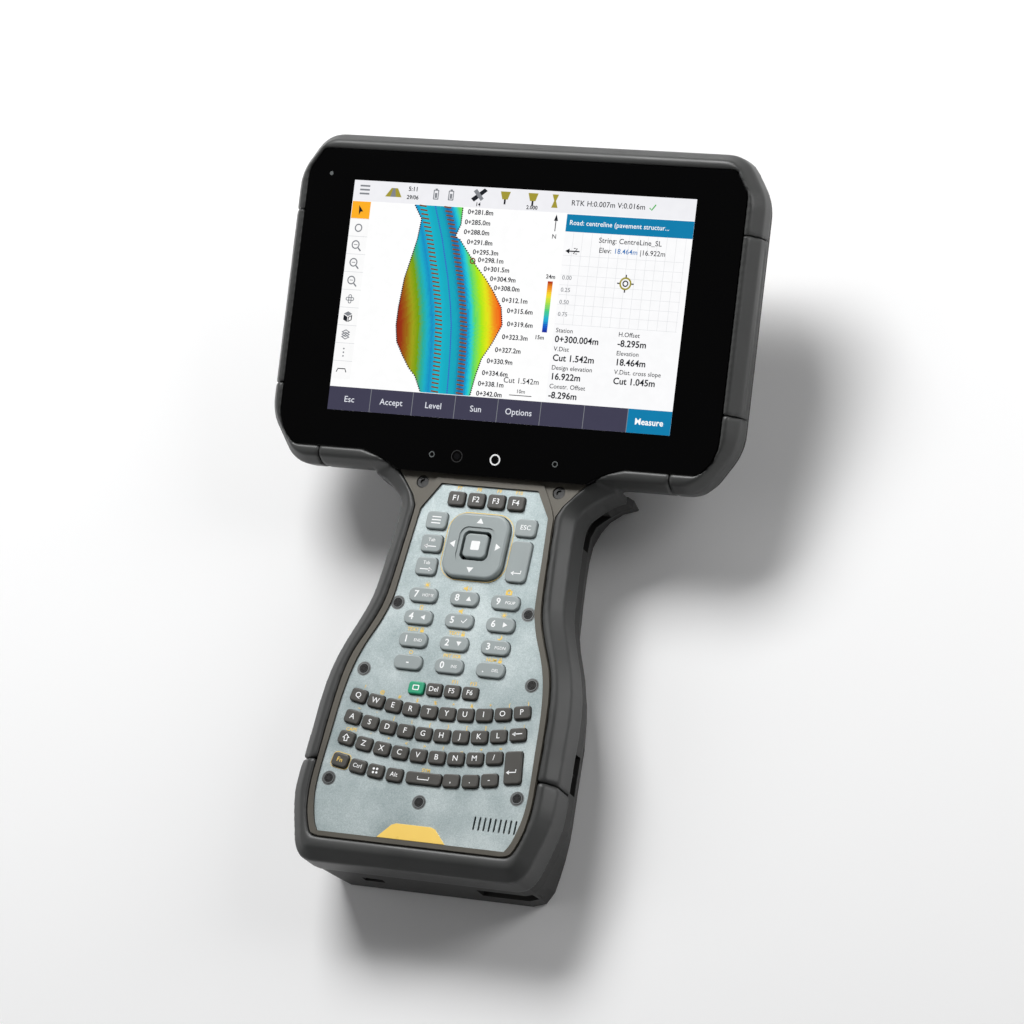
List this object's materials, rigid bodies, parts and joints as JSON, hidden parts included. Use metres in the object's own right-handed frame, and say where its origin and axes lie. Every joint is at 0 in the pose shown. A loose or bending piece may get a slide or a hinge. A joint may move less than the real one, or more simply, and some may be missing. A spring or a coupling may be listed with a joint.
{
  "type": "data collector",
  "caption": "Rugged handheld survey controller: wide tablet screen on a flared keypad handle with rubber guards, a rocker pad and pressable keys.",
  "frame": {"origin": "middle of the footprint, on the surface it lies on", "axes": "+X right, +Y from the foot of the handle to the top of the screen head, +Z out of the keypad"},
  "size_m": [0.205, 0.298, 0.0751],
  "materials": {
    "guard_rubber": "soft matt over-moulded rubber",
    "housing_plastic": "moulded, fine texture",
    "frame_metal": "cast, as machined",
    "glass_black": "polished, black printed border",
    "display": "display stack",
    "bezel_taupe": "satin paint",
    "panel_grey": "metallic paint",
    "key_dark": "moulded, satin",
    "key_grey": "moulded, satin",
    "key_green": "moulded, satin",
    "mat_silicone": "silicone",
    "board_green": "solder mask",
    "screw_steel": "dark finish",
    "badge_yellow": "gloss",
    "pack_plastic": "moulded, fine texture",
    "latch_yellow": "moulded",
    "camera_black": "gloss",
    "foot_rubber": "matt",
    "contact_gold": "gold plated"
  },
  "bodies": {
    "housing": {"rear_housing": "housing_plastic", "front_frame": "frame_metal", "cover_glass": "glass_black", "display_panel": "display", "keypad_bezel": "bezel_taupe", "keypad_panel": "panel_grey", "keypad_mat": "mat_silicone", "keypad_board": "board_green", "main_board": "board_green", "speaker": "camera_black", "badge": "badge_yellow", "case_screws": "screw_steel", "strap_bars": "screw_steel", "rubber_feet": "foot_rubber", "rear_camera": "camera_black", "module_cover": "housing_plastic", "dock_connector": "housing_plastic", "bumper_top": "guard_rubber", "bumper_bottom": "guard_rubber", "bumper_side_left": "guard_rubber", "bumper_side_right": "guard_rubber", "bumper_corner_left": "guard_rubber", "bumper_corner_right": "guard_rubber", "bumper_grip_left": "guard_rubber", "bumper_grip_right": "guard_rubber"},
    "key_f1": {"key_f1": "key_dark"},
    "key_f2": {"key_f2": "key_dark"},
    "key_f3": {"key_f3": "key_dark"},
    "key_f4": {"key_f4": "key_dark"},
    "key_select": {"key_select": "key_dark"},
    "key_enter_lower": {"key_enter_lower": "key_dark"},
    "keys_edit_row": {"keys_edit_row": "key_dark"},
    "keys_letter_row_1": {"keys_letter_row_1": "key_dark"},
    "keys_letter_row_2": {"keys_letter_row_2": "key_dark"},
    "keys_letter_row_3": {"keys_letter_row_3": "key_dark"},
    "keys_modifier_row": {"keys_modifier_row": "key_dark"},
    "key_menu": {"key_menu": "key_grey"},
    "key_tab_back": {"key_tab_back": "key_grey"},
    "key_tab_forward": {"key_tab_forward": "key_grey"},
    "key_escape": {"key_escape": "key_grey"},
    "key_enter_upper": {"key_enter_upper": "key_grey"},
    "key_number_7": {"key_number_7": "key_grey"},
    "key_number_8": {"key_number_8": "key_grey"},
    "key_number_9": {"key_number_9": "key_grey"},
    "key_number_4": {"key_number_4": "key_grey"},
    "key_number_5": {"key_number_5": "key_grey"},
    "key_number_6": {"key_number_6": "key_grey"},
    "key_number_1": {"key_number_1": "key_grey"},
    "key_number_2": {"key_number_2": "key_grey"},
    "key_number_3": {"key_number_3": "key_grey"},
    "key_number_minus": {"key_number_minus": "key_grey"},
    "key_number_0": {"key_number_0": "key_grey"},
    "key_number_point": {"key_number_point": "key_grey"},
    "key_app": {"key_app": "key_green"},
    "dpad_pivot": {"dpad_pivot": "key_dark"},
    "dpad": {"dpad": "key_dark"},
    "battery_left": {"battery_left": "pack_plastic"},
    "battery_latch_left": {"battery_latch_left": "latch_yellow"},
    "battery_right": {"battery_right": "pack_plastic"},
    "battery_latch_right": {"battery_latch_right": "latch_yellow"}
  },
  "joints": [
    {"name": "key_f1_press", "type": "slide", "parent": "housing", "child": "key_f1", "axis": [0, 0, -1], "range_m": [0, 0.0008], "stiffness_N_per_m": 1500},
    {"name": "key_f2_press", "type": "slide", "parent": "housing", "child": "key_f2", "axis": [0, 0, -1], "range_m": [0, 0.0008], "stiffness_N_per_m": 1500},
    {"name": "key_f3_press", "type": "slide", "parent": "housing", "child": "key_f3", "axis": [0, 0, -1], "range_m": [0, 0.0008], "stiffness_N_per_m": 1500},
    {"name": "key_f4_press", "type": "slide", "parent": "housing", "child": "key_f4", "axis": [0, 0, -1], "range_m": [0, 0.0008], "stiffness_N_per_m": 1500},
    {"name": "key_select_press", "type": "slide", "parent": "housing", "child": "key_select", "axis": [0, 0, -1], "range_m": [0, 0.0008], "stiffness_N_per_m": 1500},
    {"name": "key_enter_lower_press", "type": "slide", "parent": "housing", "child": "key_enter_lower", "axis": [0, 0, -1], "range_m": [0, 0.0008], "stiffness_N_per_m": 1500},
    {"name": "keys_edit_row_press", "type": "slide", "parent": "housing", "child": "keys_edit_row", "axis": [0, 0, -1], "range_m": [0, 0.0008], "stiffness_N_per_m": 3000},
    {"name": "keys_letter_row_1_press", "type": "slide", "parent": "housing", "child": "keys_letter_row_1", "axis": [0, 0, -1], "range_m": [0, 0.0008], "stiffness_N_per_m": 3000},
    {"name": "keys_letter_row_2_press", "type": "slide", "parent": "housing", "child": "keys_letter_row_2", "axis": [0, 0, -1], "range_m": [0, 0.0008], "stiffness_N_per_m": 3000},
    {"name": "keys_letter_row_3_press", "type": "slide", "parent": "housing", "child": "keys_letter_row_3", "axis": [0, 0, -1], "range_m": [0, 0.0008], "stiffness_N_per_m": 3000},
    {"name": "keys_modifier_row_press", "type": "slide", "parent": "housing", "child": "keys_modifier_row", "axis": [0, 0, -1], "range_m": [0, 0.0008], "stiffness_N_per_m": 3000},
    {"name": "key_menu_press", "type": "slide", "parent": "housing", "child": "key_menu", "axis": [0, 0, -1], "range_m": [0, 0.0008], "stiffness_N_per_m": 1500},
    {"name": "key_tab_back_press", "type": "slide", "parent": "housing", "child": "key_tab_back", "axis": [0, 0, -1], "range_m": [0, 0.0008], "stiffness_N_per_m": 1500},
    {"name": "key_tab_forward_press", "type": "slide", "parent": "housing", "child": "key_tab_forward", "axis": [0, 0, -1], "range_m": [0, 0.0008], "stiffness_N_per_m": 1500},
    {"name": "key_escape_press", "type": "slide", "parent": "housing", "child": "key_escape", "axis": [0, 0, -1], "range_m": [0, 0.0008], "stiffness_N_per_m": 1500},
    {"name": "key_enter_upper_press", "type": "slide", "parent": "housing", "child": "key_enter_upper", "axis": [0, 0, -1], "range_m": [0, 0.0008], "stiffness_N_per_m": 1500},
    {"name": "key_number_7_press", "type": "slide", "parent": "housing", "child": "key_number_7", "axis": [0, 0, -1], "range_m": [0, 0.0008], "stiffness_N_per_m": 1500},
    {"name": "key_number_8_press", "type": "slide", "parent": "housing", "child": "key_number_8", "axis": [0, 0, -1], "range_m": [0, 0.0008], "stiffness_N_per_m": 1500},
    {"name": "key_number_9_press", "type": "slide", "parent": "housing", "child": "key_number_9", "axis": [0, 0, -1], "range_m": [0, 0.0008], "stiffness_N_per_m": 1500},
    {"name": "key_number_4_press", "type": "slide", "parent": "housing", "child": "key_number_4", "axis": [0, 0, -1], "range_m": [0, 0.0008], "stiffness_N_per_m": 1500},
    {"name": "key_number_5_press", "type": "slide", "parent": "housing", "child": "key_number_5", "axis": [0, 0, -1], "range_m": [0, 0.0008], "stiffness_N_per_m": 1500},
    {"name": "key_number_6_press", "type": "slide", "parent": "housing", "child": "key_number_6", "axis": [0, 0, -1], "range_m": [0, 0.0008], "stiffness_N_per_m": 1500},
    {"name": "key_number_1_press", "type": "slide", "parent": "housing", "child": "key_number_1", "axis": [0, 0, -1], "range_m": [0, 0.0008], "stiffness_N_per_m": 1500},
    {"name": "key_number_2_press", "type": "slide", "parent": "housing", "child": "key_number_2", "axis": [0, 0, -1], "range_m": [0, 0.0008], "stiffness_N_per_m": 1500},
    {"name": "key_number_3_press", "type": "slide", "parent": "housing", "child": "key_number_3", "axis": [0, 0, -1], "range_m": [0, 0.0008], "stiffness_N_per_m": 1500},
    {"name": "key_number_minus_press", "type": "slide", "parent": "housing", "child": "key_number_minus", "axis": [0, 0, -1], "range_m": [0, 0.0008], "stiffness_N_per_m": 1500},
    {"name": "key_number_0_press", "type": "slide", "parent": "housing", "child": "key_number_0", "axis": [0, 0, -1], "range_m": [0, 0.0008], "stiffness_N_per_m": 1500},
    {"name": "key_number_point_press", "type": "slide", "parent": "housing", "child": "key_number_point", "axis": [0, 0, -1], "range_m": [0, 0.0008], "stiffness_N_per_m": 1500},
    {"name": "key_app_press", "type": "slide", "parent": "housing", "child": "key_app", "axis": [0, 0, -1], "range_m": [0, 0.0008], "stiffness_N_per_m": 1500},
    {"name": "dpad_up_down", "type": "hinge", "parent": "housing", "child": "dpad_pivot", "pos_m": [0.0002, -0.01477, 0.0387], "axis": [1, 0, 0], "range_deg": [-2.5, 2.5], "stiffness_Nm_per_rad": 0.5},
    {"name": "dpad_left_right", "type": "hinge", "parent": "dpad_pivot", "child": "dpad", "pos_m": [0.0002, -0.01477, 0.0387], "axis": [0, 1, 0], "range_deg": [-2.5, 2.5], "stiffness_Nm_per_rad": 0.5},
    {"name": "battery_left_slide", "type": "slide", "parent": "housing", "child": "battery_left", "axis": [0, 0.2379, -0.9713], "range_m": [0, 0.03]},
    {"name": "battery_latch_left_slide", "type": "slide", "parent": "housing", "child": "battery_latch_left", "axis": [-1, 0, 0], "range_m": [0, 0.006], "stiffness_N_per_m": 150},
    {"name": "battery_right_slide", "type": "slide", "parent": "housing", "child": "battery_right", "axis": [0, 0.2379, -0.9713], "range_m": [0, 0.03]},
    {"name": "battery_latch_right_slide", "type": "slide", "parent": "housing", "child": "battery_latch_right", "axis": [1, 0, 0], "range_m": [0, 0.006], "stiffness_N_per_m": 150}
  ]
}
